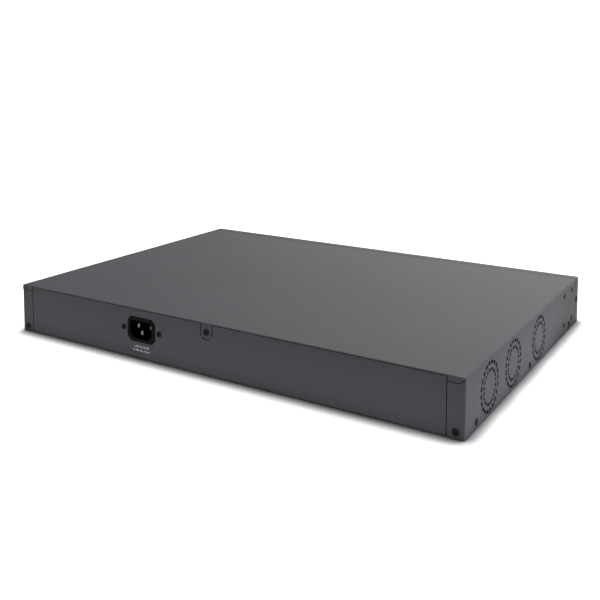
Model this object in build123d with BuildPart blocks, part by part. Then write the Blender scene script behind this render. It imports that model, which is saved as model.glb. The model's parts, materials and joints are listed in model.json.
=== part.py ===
"""Rackmount network switch, one rack unit high, with side fans and an internal mains supply.

+X runs along the length, +Y to the rear and +Z up. The origin is the centre of the underside.
"""

import os

from build123d import *

os.makedirs("parts", exist_ok=True)

# ---- Driving dimensions, in millimetres -------------------------------------------------------

WIDTH = 440.0
DEPTH = 306.0
HEIGHT = 44.0
SHEET = 1.0

SIDE_X = WIDTH / 2
FRONT_Y = -DEPTH / 2
REAR_Y = DEPTH / 2
INNER_X = SIDE_X - SHEET
WALL_X = INNER_X - SHEET
ROOF_Z = HEIGHT - SHEET
PANEL_BACK_Y = FRONT_Y + SHEET
REAR_BACK_Y = REAR_Y - SHEET
LUG_BACK_Y = REAR_BACK_Y - SHEET

BEND_RADIUS = 1.6
CORNER_RADIUS = 0.9
SEAM_Y = FRONT_Y + 10.8
SEAM_GAP = 0.4
COVER_BOTTOM_Z = 0.3

PANEL_GAP = 0.8
FLANGE_INNER_X = 206.9
REAR_PANEL_X = FLANGE_INNER_X - PANEL_GAP
REAR_TOP_Z = ROOF_Z - 0.45
REAR_LIP = 9.0
LUG_LAP = 1.2
FLANGE_TOP_Z = 39.5
STRIP_CUT_X = 215.8
CORNER_SEAM = 0.55
TAB_WIDTH = 11.2
TAB_GAP = 0.8
TAB_Z = 36.0

SCREW_D = 2.8
SCREW_HEAD_D = 5.7
SCREW_HEAD_H = 1.0
LOW_HEAD_H = 0.5
SCREW_LENGTH = 6.0
CLEAR_HOLE_D = 3.4
THREAD_HOLE_D = 3.0
FLANGE_SCREW_X = 213.5
FLANGE_SCREW_Z = 4.8
SIDE_SCREW_Y = (131.4, 5.3, -120.2)
SIDE_SCREW_Z = 5.5
PANEL_SCREW_Y = -147.0
PANEL_SCREW_Z = 23.0

EAR_CENTRE_Y = -115.65
EAR_CENTRE_Z = 22.8
EAR_PITCH_Y = 27.7
EAR_PITCH_Z = 27.5
EAR_HOLE_D = 5.2

FAN_SIZE = 40.0
FAN_DEPTH = 20.0
FAN_BORE_R = 19.1
FAN_WALL_BORE_R = 19.5
FAN_SCREW_PITCH = 32.0
FAN_CENTRES = ((104.2, 21.4), (49.8, 21.4), (-19.5, 21.4))
VENT_COUNT = 20
VENT_START = 12.0
VENT_RINGS = ((17.9, 2.9, 4.3), (12.7, 2.7, 3.0))

INTAKE_PITCH = 5.0
INTAKE_SLOT = (2.4, 9.0)
INTAKE_COLUMNS = 14
INTAKE_ROWS = 3
INTAKE_ROW_PITCH = 11.5
INTAKE_CENTRES = ((84.0, 22.0), (-42.0, 22.0))

INLET_X = 70.4
INLET_Z = 25.4
INLET_BODY = (30.8, 21.4)
INLET_CORNER = 3.8
INLET_CAVITY = (24.4, 15.6)
INLET_SCREW_PITCH = 40.0
INLET_PROUD = 0.7
INLET_DEPTH = 25.0

BOARD_Z = 7.0
BOARD_T = 1.6
BOARD_TOP = BOARD_Z + BOARD_T
MAIN_BOARD = (-190.0, 150.0, -149.0, 0.0)
POE_BOARD = (-158.0, 34.0, 16.0, 124.0)
POWER_BOARD = (56.0, 206.0, 16.0, 118.0)
STANDOFF_R = 2.8

PORT_PITCH = 13.97
PORT_COLUMNS = 6
PORT_BLOCK = (84.8, 25.0, 25.4)
PORT_BLOCK_CENTRES = (-86.0, 6.0)
PORT_FRONT_Y = FRONT_Y + 0.4
PORT_POCKET = (11.9, 15.0, 7.0)
PORT_POCKET_TOP_Z = 22.6
PORT_POCKET_LOW_Z = 20.0
CONTACT_PITCH = 1.02
SHIELD_T = 0.3

CAGE = (14.6, 48.0, 9.8)
CAGE_T = 0.4
CAGE_CENTRES = (70.0, 87.0, 104.0, 121.0)

LED_COLUMNS = 12
LED_PITCH = 3.0
LED_CENTRE_X = -167.0
LED_ROWS_Z = (26.0, 30.0, 34.0)
BUTTON_Z = 16.0
MODE_BUTTON_X = -180.0
RESET_BUTTON_X = -166.0
BUTTON_TRAVEL = 0.5


# ---- Helpers ----------------------------------------------------------------------------------

def finish(piece, node):
    """Label a finished piece and write it as its own file."""
    piece.part.label = node
    export_step(piece.part, f"parts/{node}.step")


def side_plane(x):
    """Plane across X: its own x is world Y and its own y is world Z."""
    return Plane(origin=(x, 0, 0), x_dir=(0, 1, 0), z_dir=(1, 0, 0))


def cross_plane(y):
    """Plane across Y: its own x is world X, its own y is world Z, and its normal is -Y."""
    return Plane(origin=(0, y, 0), x_dir=(1, 0, 0), z_dir=(0, -1, 0))


def block(x_span, y_span, z_span, mode=Mode.ADD):
    """Add or cut a rectangular block given by its limits."""
    with BuildSketch(Plane.XY.offset(z_span[0])) as outline:
        with Locations(((x_span[0] + x_span[1]) / 2, (y_span[0] + y_span[1]) / 2)):
            Rectangle(x_span[1] - x_span[0], y_span[1] - y_span[0])
    extrude(outline.sketch, amount=z_span[1] - z_span[0], mode=mode)


def seated_block(centre, size, base_z=BOARD_TOP, mode=Mode.ADD):
    """A block standing on base_z, centred on a point of the board."""
    x, y = centre
    length, width, tall = size
    block((x - length / 2, x + length / 2), (y - width / 2, y + width / 2), (base_z, base_z + tall), mode)


def seated_cylinder(centre, radius, tall, base_z=BOARD_TOP, mode=Mode.ADD):
    """An upright cylinder standing on base_z."""
    with BuildSketch(Plane.XY.offset(base_z)) as outline:
        with Locations(centre):
            Circle(radius)
    extrude(outline.sketch, amount=tall, mode=mode)


def round_cuts(plane, centres, diameter, depth):
    """Cut round holes from a plane, depth along its normal."""
    with BuildSketch(plane) as holes:
        with Locations(*centres):
            Circle(diameter / 2)
    extrude(holes.sketch, amount=depth, mode=Mode.SUBTRACT)


def make_screw(head_d, head_h, shank_d, length):
    """Pan-head screw with a cross recess; the seat is z = 0 and the head is above it."""
    with BuildPart() as screw:
        Cylinder(head_d / 2, head_h, align=(Align.CENTER, Align.CENTER, Align.MIN))
        fillet(screw.edges().group_by(Axis.Z)[-1], radius=head_h * 0.55)
        with BuildSketch(Plane.XY.offset(head_h)):
            Rectangle(head_d * 0.52, head_d * 0.11)
            Rectangle(head_d * 0.11, head_d * 0.52)
        extrude(amount=-head_h * 0.6, mode=Mode.SUBTRACT)
        Cylinder(shank_d / 2, length, align=(Align.CENTER, Align.CENTER, Align.MAX))
        chamfer(screw.edges().group_by(Axis.Z)[0], length=0.4)
    return screw.part


def place_copies(solid, seats, node):
    """Write copies of one solid, set on each seat, as one node."""
    with BuildPart() as group:
        with Locations(*seats):
            add(solid)
    finish(group, node)


def seat(point, normal):
    """A seat for a screw: a plane at a point, its normal towards the head."""
    across = (0, 0, 1) if abs(normal[2]) < 0.5 else (1, 0, 0)
    return Plane(origin=point, x_dir=across, z_dir=normal)


def corner_points(limits, inset):
    """Four points inset from the corners of a board."""
    x0, x1, y0, y1 = limits
    return [(x, y) for x in (x0 + inset, x1 - inset) for y in (y0 + inset, y1 - inset)]


def lead(points, radii, diameter):
    """A round lead: straight runs joined by tangent arcs."""
    with BuildLine() as route:
        FilletPolyline(*points, radius=radii)
    path = route.wire()
    with BuildSketch(Plane(origin=path @ 0, z_dir=path % 0)) as section:
        Circle(diameter / 2)
    sweep(section.sketch, path=path)


# ---- Places shared by several pieces ----------------------------------------------------------

side_signs = (-1, 1)
side_screw_points = [(y, SIDE_SCREW_Z) for y in SIDE_SCREW_Y]
ear_points = [
    (EAR_CENTRE_Y + sy * EAR_PITCH_Y / 2, EAR_CENTRE_Z + sz * EAR_PITCH_Z / 2)
    for sy in side_signs
    for sz in side_signs
]
flange_screw_points = [(sx * FLANGE_SCREW_X, FLANGE_SCREW_Z) for sx in side_signs]
tab_point = (0.0, TAB_Z)
inlet_screw_points = [(INLET_X + sx * INLET_SCREW_PITCH / 2, INLET_Z) for sx in side_signs]
fan_planes = [Plane(origin=(-WALL_X, y, z), x_dir=(0, 1, 0), z_dir=(1, 0, 0)) for y, z in FAN_CENTRES]
fan_corner_points = [
    (y + sy * FAN_SCREW_PITCH / 2, z + sz * FAN_SCREW_PITCH / 2)
    for y, z in FAN_CENTRES
    for sy in side_signs
    for sz in side_signs
]
column_offsets = [(i - (PORT_COLUMNS - 1) / 2) * PORT_PITCH for i in range(PORT_COLUMNS)]
port_xs = [centre + offset for centre in PORT_BLOCK_CENTRES for offset in column_offsets]
led_points = [
    (LED_CENTRE_X + (i - (LED_COLUMNS - 1) / 2) * LED_PITCH, z)
    for z in LED_ROWS_Z[:2]
    for i in range(LED_COLUMNS)
]
led_points += [(LED_CENTRE_X + (i - 1.5) * LED_PITCH * 3, LED_ROWS_Z[2]) for i in range(4)]

main_standoff_points = [(x, y) for x in (-184.0, -40.0, 56.0, 144.0) for y in (-112.0, -6.0)]
poe_standoff_points = corner_points(POE_BOARD, 6.0)
power_standoff_points = corner_points(POWER_BOARD, 6.0)
standoff_points = main_standoff_points + poe_standoff_points + power_standoff_points


# ---- Sheet-metal shells -----------------------------------------------------------------------

def inlet_outline(grow):
    """Outline of the mains inlet: a rectangle with its corners cut and softened."""
    with Locations((INLET_X, INLET_Z)):
        outline = Rectangle(INLET_BODY[0] + 2 * grow, INLET_BODY[1] + 2 * grow)
    outline = chamfer(outline.vertices(), length=INLET_CORNER)
    fillet(outline.vertices(), radius=INLET_CORNER / 2)


with BuildPart() as top_cover:
    with BuildSketch(cross_plane(REAR_Y)) as cover_profile:
        with Locations((0, COVER_BOTTOM_Z)):
            Rectangle(WIDTH, HEIGHT - COVER_BOTTOM_Z, align=(Align.CENTER, Align.MIN))
        fillet(cover_profile.vertices().group_by(Axis.Y)[-1], radius=BEND_RADIUS)
        with Locations((0, COVER_BOTTOM_Z)):
            Rectangle(
                2 * INNER_X, ROOF_Z - COVER_BOTTOM_Z, align=(Align.CENTER, Align.MIN), mode=Mode.SUBTRACT
            )
    extrude(amount=REAR_Y - SEAM_Y)
    flange_width = INNER_X - FLANGE_INNER_X + SHEET / 2
    flange_height = ROOF_Z - COVER_BOTTOM_Z + SHEET / 2
    with BuildSketch(cross_plane(REAR_Y)):
        for sign in side_signs:
            with Locations((sign * (FLANGE_INNER_X + flange_width / 2), COVER_BOTTOM_Z)):
                Rectangle(flange_width, flange_height, align=(Align.CENTER, Align.MIN))
        with Locations(tab_point):
            Circle(TAB_WIDTH / 2)
            Rectangle(TAB_WIDTH, ROOF_Z - TAB_Z + SHEET / 2, align=(Align.CENTER, Align.MIN))
    extrude(amount=SHEET)
    with BuildSketch():
        for sign in side_signs:
            with Locations((sign * (SIDE_X - CORNER_RADIUS / 2), REAR_Y - CORNER_RADIUS / 2)):
                Rectangle(CORNER_RADIUS, CORNER_RADIUS)
            with Locations((sign * (SIDE_X - CORNER_RADIUS), REAR_Y - CORNER_RADIUS)):
                Circle(CORNER_RADIUS, mode=Mode.SUBTRACT)
    extrude(amount=FLANGE_TOP_Z, mode=Mode.SUBTRACT)
    with BuildSketch(cross_plane(REAR_Y + SHEET)):
        for sign in side_signs:
            with BuildLine():
                Polyline(
                    (sign * (FLANGE_INNER_X - SHEET), FLANGE_TOP_Z),
                    (sign * STRIP_CUT_X, FLANGE_TOP_Z),
                    (sign * (SIDE_X + SHEET), HEIGHT),
                    (sign * (SIDE_X + SHEET), HEIGHT - CORNER_SEAM * 1.4),
                    (sign * (STRIP_CUT_X + 0.2), FLANGE_TOP_Z - CORNER_SEAM),
                    (sign * (FLANGE_INNER_X - SHEET), FLANGE_TOP_Z - CORNER_SEAM),
                    close=True,
                )
            make_face()
    extrude(amount=2 * SHEET, mode=Mode.SUBTRACT)
    round_cuts(cross_plane(REAR_Y), flange_screw_points + [tab_point], CLEAR_HOLE_D, SHEET)
    for x in (-SIDE_X, INNER_X):
        round_cuts(side_plane(x), side_screw_points, CLEAR_HOLE_D, SHEET)
        round_cuts(side_plane(x), ear_points, EAR_HOLE_D, SHEET)
    with BuildSketch(side_plane(-SIDE_X)):
        for centre in FAN_CENTRES:
            for radius, radial, tangential in VENT_RINGS:
                with Locations(centre):
                    with PolarLocations(radius, VENT_COUNT, start_angle=VENT_START):
                        RectangleRounded(radial, tangential, radial * 0.4)
    extrude(amount=SHEET, mode=Mode.SUBTRACT)
    with BuildSketch(side_plane(INNER_X)):
        with Locations(*INTAKE_CENTRES):
            with GridLocations(INTAKE_PITCH, INTAKE_ROW_PITCH, INTAKE_COLUMNS, INTAKE_ROWS):
                RectangleRounded(INTAKE_SLOT[0], INTAKE_SLOT[1], INTAKE_SLOT[0] * 0.45)
    extrude(amount=SHEET, mode=Mode.SUBTRACT)
finish(top_cover, "top_cover")

FOOT_PITCH = (390.0, 246.0)
FOOT_R = 10.0
FOOT_RING = 0.8
INTAKE_WINDOW = (INTAKE_PITCH * INTAKE_COLUMNS + 2.0, INTAKE_ROW_PITCH * INTAKE_ROWS)
WALL_TOP_Z = 42.0

with BuildPart() as chassis_base:
    block((-INNER_X, INNER_X), (PANEL_BACK_Y, REAR_BACK_Y), (0, SHEET))
    block((-REAR_PANEL_X, REAR_PANEL_X), (REAR_BACK_Y, REAR_Y), (0, REAR_TOP_Z))
    fillet(chassis_base.edges().filter_by(Axis.X).group_by(Axis.Z)[0].sort_by(Axis.Y)[-1], radius=0.9)
    with BuildSketch(cross_plane(REAR_Y)):
        with Locations(tab_point):
            Circle(TAB_WIDTH / 2 + TAB_GAP)
            Rectangle(TAB_WIDTH + 2 * TAB_GAP, HEIGHT - TAB_Z, align=(Align.CENTER, Align.MIN))
    extrude(amount=SHEET, mode=Mode.SUBTRACT)
    block((-TAB_WIDTH, TAB_WIDTH), (LUG_BACK_Y, REAR_BACK_Y), (TAB_Z - TAB_WIDTH, REAR_TOP_Z))
    block((-WALL_X, WALL_X), (REAR_BACK_Y - REAR_LIP, REAR_BACK_Y), (REAR_TOP_Z - SHEET, REAR_TOP_Z))
    for sign in side_signs:
        lug_x = sorted((sign * (REAR_PANEL_X - LUG_LAP), sign * INNER_X))
        block(lug_x, (LUG_BACK_Y, REAR_BACK_Y), (0, REAR_TOP_Z))
    for x in (-INNER_X, WALL_X):
        block((x, x + SHEET), (PANEL_BACK_Y + 0.4, REAR_BACK_Y), (0.9, WALL_TOP_Z))
    for x in (-INNER_X, WALL_X):
        round_cuts(side_plane(x), side_screw_points, THREAD_HOLE_D, SHEET)
        round_cuts(side_plane(x), [(PANEL_SCREW_Y, PANEL_SCREW_Z)], THREAD_HOLE_D, SHEET)
        round_cuts(side_plane(x), ear_points, EAR_HOLE_D, SHEET)
    round_cuts(side_plane(-INNER_X), FAN_CENTRES, 2 * FAN_WALL_BORE_R, SHEET)
    round_cuts(side_plane(-INNER_X), fan_corner_points, THREAD_HOLE_D, SHEET)
    with BuildSketch(side_plane(WALL_X)):
        with Locations(*INTAKE_CENTRES):
            RectangleRounded(INTAKE_WINDOW[0], INTAKE_WINDOW[1], 2.0)
    extrude(amount=SHEET, mode=Mode.SUBTRACT)
    rear_holes = flange_screw_points + [tab_point] + inlet_screw_points
    round_cuts(cross_plane(REAR_Y), rear_holes, THREAD_HOLE_D, 2 * SHEET)
    with BuildSketch(cross_plane(REAR_Y)):
        inlet_outline(0.2)
    extrude(amount=SHEET, mode=Mode.SUBTRACT)
    with BuildSketch():
        with Locations(*standoff_points):
            RegularPolygon(STANDOFF_R, 6)
    extrude(amount=SHEET, mode=Mode.SUBTRACT)
    with BuildSketch():
        with GridLocations(*FOOT_PITCH, 2, 2):
            Circle(FOOT_R)
            Circle(FOOT_R - FOOT_RING, mode=Mode.SUBTRACT)
    extrude(amount=SHEET / 4, mode=Mode.SUBTRACT)
finish(chassis_base, "chassis_base")

WINDOW_GAP = 0.5
MODE_BUTTON_R = 2.0
RESET_HOLE_R = 1.0
LED_HOLE_R = 1.1
LIGHT_PIPE_R = 1.0

with BuildPart() as front_panel:
    with BuildSketch(cross_plane(SEAM_Y - SEAM_GAP)) as panel_outline:
        Rectangle(WIDTH, HEIGHT, align=(Align.CENTER, Align.MIN))
        fillet(panel_outline.vertices().group_by(Axis.Y)[-1], radius=BEND_RADIUS)
    extrude(amount=SEAM_Y - SEAM_GAP - FRONT_Y)
    fillet(front_panel.edges().filter_by(Axis.Z).group_by(Axis.Y)[0], radius=0.8)
    block((-INNER_X, INNER_X), (PANEL_BACK_Y, SEAM_Y), (-SHEET, ROOF_Z), Mode.SUBTRACT)
    for x in (-SIDE_X, INNER_X):
        round_cuts(side_plane(x), [(PANEL_SCREW_Y, PANEL_SCREW_Z)], CLEAR_HOLE_D, SHEET)
    with BuildSketch(cross_plane(PANEL_BACK_Y)):
        for centre in PORT_BLOCK_CENTRES:
            with Locations((centre, BOARD_TOP + PORT_BLOCK[2] / 2)):
                Rectangle(PORT_BLOCK[0] + 2 * WINDOW_GAP + 2 * SHIELD_T, PORT_BLOCK[2] + 2 * WINDOW_GAP)
        with Locations(*[(x, BOARD_TOP + CAGE[2] / 2) for x in CAGE_CENTRES]):
            Rectangle(CAGE[0] + WINDOW_GAP, CAGE[2] + WINDOW_GAP)
        with Locations(*led_points):
            Circle(LED_HOLE_R)
        with Locations((MODE_BUTTON_X, BUTTON_Z)):
            Circle(MODE_BUTTON_R + 0.1)
        with Locations((RESET_BUTTON_X, BUTTON_Z)):
            Circle(RESET_HOLE_R)
    extrude(amount=SHEET, mode=Mode.SUBTRACT)
finish(front_panel, "front_panel")


# ---- Screws and standoffs ---------------------------------------------------------------------

cover_screw = make_screw(SCREW_HEAD_D, SCREW_HEAD_H, SCREW_D, SCREW_LENGTH)
side_screw = make_screw(SCREW_HEAD_D, LOW_HEAD_H, SCREW_D, SCREW_LENGTH)
board_screw = make_screw(5.2, 1.6, 2.5, 5.0)
fan_screw = make_screw(5.4, 1.8, SCREW_D, FAN_DEPTH + SHEET * 0.8)
inlet_screw = make_screw(5.0, 0.9, 2.6, 7.0)

rear_points = flange_screw_points + [tab_point]
place_copies(cover_screw, [seat((x, REAR_Y, z), (0, 1, 0)) for x, z in rear_points], "rear_cover_screws")

side_seats = [
    seat((sign * SIDE_X, y, z), (sign, 0, 0)) for sign in side_signs for y, z in side_screw_points
]
place_copies(side_screw, side_seats, "side_cover_screws")

panel_seats = [seat((s * SIDE_X, PANEL_SCREW_Y, PANEL_SCREW_Z), (s, 0, 0)) for s in side_signs]
place_copies(side_screw, panel_seats, "front_panel_screws")

inlet_seats = [seat((x, REAR_Y, z), (0, 1, 0)) for x, z in inlet_screw_points]
place_copies(inlet_screw, inlet_seats, "inlet_screws")

fan_seats = [seat((-WALL_X + FAN_DEPTH, y, z), (1, 0, 0)) for y, z in fan_corner_points]
place_copies(fan_screw, fan_seats, "fan_screws")

with BuildPart() as board_standoffs:
    with BuildSketch():
        with Locations(*standoff_points):
            RegularPolygon(STANDOFF_R, 6)
    extrude(amount=BOARD_Z)
    round_cuts(Plane.XY.offset(SHEET), standoff_points, 2.7, BOARD_Z - SHEET)
finish(board_standoffs, "board_standoffs")

board_seats = [seat((x, y, BOARD_TOP), (0, 0, 1)) for x, y in standoff_points]
place_copies(board_screw, board_seats, "board_screws")


# ---- Mains inlet ------------------------------------------------------------------------------

INLET_FACE_Y = REAR_Y + INLET_PROUD
INLET_FLOOR_Y = INLET_FACE_Y - 17.0
INLET_BACK_Y = INLET_FACE_Y - INLET_DEPTH
INLET_EAR_T = 2.5
PIN_SIZE = (2.0, 4.0)
LIVE_PITCH = 14.0
LIVE_Z = INLET_Z + 2.0
EARTH_Z = INLET_Z - 2.5
pin_points = [(INLET_X - LIVE_PITCH / 2, LIVE_Z), (INLET_X + LIVE_PITCH / 2, LIVE_Z), (INLET_X, EARTH_Z)]

with BuildPart() as inlet_body:
    with BuildSketch(cross_plane(INLET_FACE_Y)):
        inlet_outline(0.0)
    extrude(amount=INLET_DEPTH)
    fillet(inlet_body.faces().sort_by(Axis.Y)[-1].edges(), radius=0.4)
    with BuildSketch(cross_plane(REAR_BACK_Y)):
        with Locations((INLET_X, INLET_Z)):
            SlotOverall(INLET_SCREW_PITCH + 10.0, 10.0)
            Rectangle(INLET_BODY[0] + 3.0, INLET_BODY[1] + 1.0)
    extrude(amount=INLET_EAR_T)
    with BuildSketch(cross_plane(INLET_FACE_Y)):
        with Locations((INLET_X, INLET_Z)):
            cavity = Rectangle(INLET_CAVITY[0], INLET_CAVITY[1])
        cavity = chamfer(cavity.vertices().group_by(Axis.Y)[0], length=4.2)
        fillet(cavity.vertices(), radius=1.0)
    extrude(amount=INLET_FACE_Y - INLET_FLOOR_Y, mode=Mode.SUBTRACT)
    with BuildSketch(cross_plane(INLET_FACE_Y)):
        with Locations(*pin_points):
            Rectangle(*PIN_SIZE)
    extrude(amount=INLET_DEPTH, mode=Mode.SUBTRACT)
    round_cuts(cross_plane(REAR_BACK_Y), inlet_screw_points, THREAD_HOLE_D, INLET_EAR_T)
finish(inlet_body, "inlet_body")

LIVE_TIP_Y = INLET_FACE_Y - 4.6
EARTH_TIP_Y = INLET_FACE_Y - 1.2
SPADE_LENGTH = 7.0

with BuildPart() as inlet_pins:
    for (x, z), tip_y in zip(pin_points, (LIVE_TIP_Y, LIVE_TIP_Y, EARTH_TIP_Y)):
        with BuildSketch(cross_plane(tip_y)):
            with Locations((x, z)):
                Rectangle(*PIN_SIZE)
        extrude(amount=tip_y - INLET_BACK_Y + SPADE_LENGTH)
    pin_tips = [f for f in inlet_pins.faces().filter_by(Axis.Y) if f.center().Y > INLET_FLOOR_Y]
    chamfer([edge for tip in pin_tips for edge in tip.edges()], length=0.7)
finish(inlet_pins, "inlet_pins")


# ---- Circuit boards ---------------------------------------------------------------------------

INSULATOR_T = 0.5


def make_board(limits, holes, node):
    """A circuit board with its screw holes and slightly rounded corners."""
    x0, x1, y0, y1 = limits
    with BuildPart() as board:
        with BuildSketch(Plane.XY.offset(BOARD_Z)):
            with Locations(((x0 + x1) / 2, (y0 + y1) / 2)):
                RectangleRounded(x1 - x0, y1 - y0, 1.5)
            with Locations(*holes):
                Circle(1.6, mode=Mode.SUBTRACT)
        extrude(amount=BOARD_T)
    finish(board, node)


make_board(MAIN_BOARD, main_standoff_points, "main_board")
make_board(POE_BOARD, poe_standoff_points, "poe_board")
make_board(POWER_BOARD, power_standoff_points, "power_board")

with BuildPart() as power_insulator:
    block(POWER_BOARD[:2], POWER_BOARD[2:], (SHEET, SHEET + INSULATOR_T))
    round_cuts(Plane.XY.offset(SHEET), power_standoff_points, 3 * STANDOFF_R, INSULATOR_T)
finish(power_insulator, "power_insulator")


# ---- Network ports ----------------------------------------------------------------------------

LATCH_STEPS = ((6.2, 2.0), (3.4, 3.0))


def port_outline(base_z, up):
    """Front outline of one port: the plug's opening and the stepped way for its latch."""
    align = Align.MIN if up else Align.MAX
    with Locations((0, base_z)):
        Rectangle(PORT_POCKET[0], PORT_POCKET[2], align=(Align.CENTER, align))
    with Locations((0, base_z + (PORT_POCKET[2] if up else -PORT_POCKET[2]))):
        for step_width, step_height in LATCH_STEPS:
            Rectangle(step_width, step_height, align=(Align.CENTER, align))


with BuildSketch() as port_pair:
    port_outline(PORT_POCKET_TOP_Z, True)
    port_outline(PORT_POCKET_LOW_Z, False)

for centre, side_name in zip(PORT_BLOCK_CENTRES, ("left", "right")):
    x_span = (centre - PORT_BLOCK[0] / 2, centre + PORT_BLOCK[0] / 2)
    y_span = (PORT_FRONT_Y, PORT_FRONT_Y + PORT_BLOCK[1])
    with BuildPart() as port_block:
        block(x_span, y_span, (BOARD_TOP, BOARD_TOP + PORT_BLOCK[2]))
        with BuildSketch(cross_plane(PORT_FRONT_Y + PORT_POCKET[1])):
            with Locations(*[(centre + offset, 0) for offset in column_offsets]):
                add(port_pair.sketch)
        extrude(amount=PORT_POCKET[1], mode=Mode.SUBTRACT)
    finish(port_block, f"port_block_{side_name}")
    with BuildPart() as port_shield:
        block(
            (x_span[0] - SHIELD_T, x_span[1] + SHIELD_T),
            (y_span[0] - SHIELD_T, y_span[1] + SHIELD_T),
            (BOARD_TOP, BOARD_TOP + PORT_BLOCK[2] + SHIELD_T),
        )
        block(x_span, y_span, (BOARD_TOP, BOARD_TOP + PORT_BLOCK[2]), Mode.SUBTRACT)
        with BuildSketch(cross_plane(PORT_FRONT_Y)):
            with Locations(*[(centre + offset, 0) for offset in column_offsets]):
                add(port_pair.sketch)
        extrude(amount=SHIELD_T, mode=Mode.SUBTRACT)
    finish(port_shield, f"port_shield_{side_name}")

CONTACT_RUN = 3.9
CONTACT_RISE = 0.3

with BuildPart() as port_contacts:
    for base_z, rise in ((PORT_POCKET_TOP_Z + 0.5, CONTACT_RISE), (PORT_POCKET_LOW_Z - 0.5, -CONTACT_RISE)):
        with BuildSketch(cross_plane(PORT_FRONT_Y + PORT_POCKET[1])) as contact_ends:
            with Locations(*[(x, base_z) for x in port_xs]):
                with GridLocations(CONTACT_PITCH, 1, 8, 1):
                    Rectangle(0.4, 0.3)
        extrude(amount=CONTACT_RUN, dir=(0, -1, rise))
finish(port_contacts, "port_contacts")

CAGE_BACK_Y = PORT_FRONT_Y + CAGE[1]
CAGE_SLOT_Y = (CAGE_BACK_Y - 14.0, CAGE_BACK_Y - 1.0)

with BuildPart() as sfp_cages:
    for x in CAGE_CENTRES:
        half = CAGE[0] / 2
        inner = half - CAGE_T
        block((x - half, x + half), (PORT_FRONT_Y, CAGE_BACK_Y), (BOARD_TOP, BOARD_TOP + CAGE[2]))
        block(
            (x - inner, x + inner),
            (PORT_FRONT_Y - 1, CAGE_BACK_Y - CAGE_T),
            (BOARD_TOP + CAGE_T, BOARD_TOP + CAGE[2] - CAGE_T),
            Mode.SUBTRACT,
        )
        block((x - inner + 1, x + inner - 1), CAGE_SLOT_Y, (BOARD_TOP, BOARD_TOP + 1), Mode.SUBTRACT)
finish(sfp_cages, "sfp_cages")

with BuildPart() as sfp_connectors:
    for x in CAGE_CENTRES:
        block((x - 5.6, x + 5.6), (CAGE_SLOT_Y[0] + 1, CAGE_SLOT_Y[1] - 1), (BOARD_TOP, BOARD_TOP + 6.0))
        block(
            (x - 4.6, x + 4.6),
            (CAGE_SLOT_Y[0], CAGE_SLOT_Y[0] + 6),
            (BOARD_TOP + 2.4, BOARD_TOP + 3.8),
            Mode.SUBTRACT,
        )
finish(sfp_connectors, "sfp_connectors")


# ---- Indicators and buttons -------------------------------------------------------------------

LED_BOARD_Y = (-143.0, -141.4)
LED_BOARD_X = (-188.0, -146.0)
LED_BOARD_TOP_Z = 38.0
LED_DEPTH = 0.9
PIPE_BACK_Y = LED_BOARD_Y[0] - LED_DEPTH - 0.5
TACT_DEPTH = 3.5
TACT_BORE_R = 1.35
STEM_R = 1.25
STEM_END_Y = LED_BOARD_Y[0] - TACT_DEPTH + 1.5
button_points = [(MODE_BUTTON_X, BUTTON_Z), (RESET_BUTTON_X, BUTTON_Z)]

with BuildPart() as led_board:
    block(LED_BOARD_X, LED_BOARD_Y, (BOARD_TOP, LED_BOARD_TOP_Z))
finish(led_board, "led_board")

with BuildPart() as status_leds:
    with BuildSketch(cross_plane(LED_BOARD_Y[0])):
        with Locations(*led_points):
            Rectangle(1.6, 0.9)
    extrude(amount=LED_DEPTH)
finish(status_leds, "status_leds")

with BuildPart() as light_pipes:
    with BuildSketch(cross_plane(PIPE_BACK_Y)):
        with Locations(*led_points):
            Circle(LIGHT_PIPE_R)
    extrude(amount=PIPE_BACK_Y - FRONT_Y)
    carrier_z = (LED_ROWS_Z[0] - 2.0, LED_ROWS_Z[2] + 2.0)
    block((LED_BOARD_X[0] + 2, LED_BOARD_X[1] - 2), (PANEL_BACK_Y + 2.0, PANEL_BACK_Y + 3.5), carrier_z)
finish(light_pipes, "light_pipes")

with BuildPart() as button_switches:
    with BuildSketch(cross_plane(LED_BOARD_Y[0])):
        with Locations(*button_points):
            RectangleRounded(6.0, 6.0, 0.6)
    extrude(amount=TACT_DEPTH)
    round_cuts(cross_plane(STEM_END_Y + 2 * BUTTON_TRAVEL), button_points, 2 * TACT_BORE_R, TACT_DEPTH)
finish(button_switches, "button_switches")


def stepped_button(point, node, steps):
    """A round button made of stepped lengths, each (front y, back y, radius)."""
    with BuildPart() as button:
        for front_y, back_y, radius in steps:
            with BuildSketch(cross_plane(back_y)):
                with Locations(point):
                    Circle(radius)
            extrude(amount=back_y - front_y)
        fillet(button.edges().group_by(Axis.Y)[0], radius=0.4)
    finish(button, node)


MODE_FRONT_Y = FRONT_Y - SCREW_HEAD_H
COLLAR_Y = PANEL_BACK_Y + 0.2
stepped_button(button_points[0], "mode_button", (
    (MODE_FRONT_Y, COLLAR_Y, MODE_BUTTON_R),
    (COLLAR_Y, COLLAR_Y + 1.2, MODE_BUTTON_R + 0.8),
    (COLLAR_Y + 1.2, STEM_END_Y, STEM_R),
))
stepped_button(button_points[1], "reset_button", (
    (COLLAR_Y + 0.8, COLLAR_Y + 2.0, MODE_BUTTON_R),
    (COLLAR_Y + 2.0, STEM_END_Y, STEM_R),
))


# ---- Parts on the main board ------------------------------------------------------------------

def heat_sink(centre, size, fins, base_z):
    """A finned heat sink: a base plate with upright fins along Y."""
    x, y = centre
    length, width, tall = size
    base_t = 2.5
    seated_block(centre, (length, width, base_t), base_z)
    for i in range(fins):
        fin_x = x - length / 2 + 0.5 + i * (length - 1.0) / (fins - 1)
        seated_block((fin_x, y), (1.0, width, tall - base_t), base_z + base_t)


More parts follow.
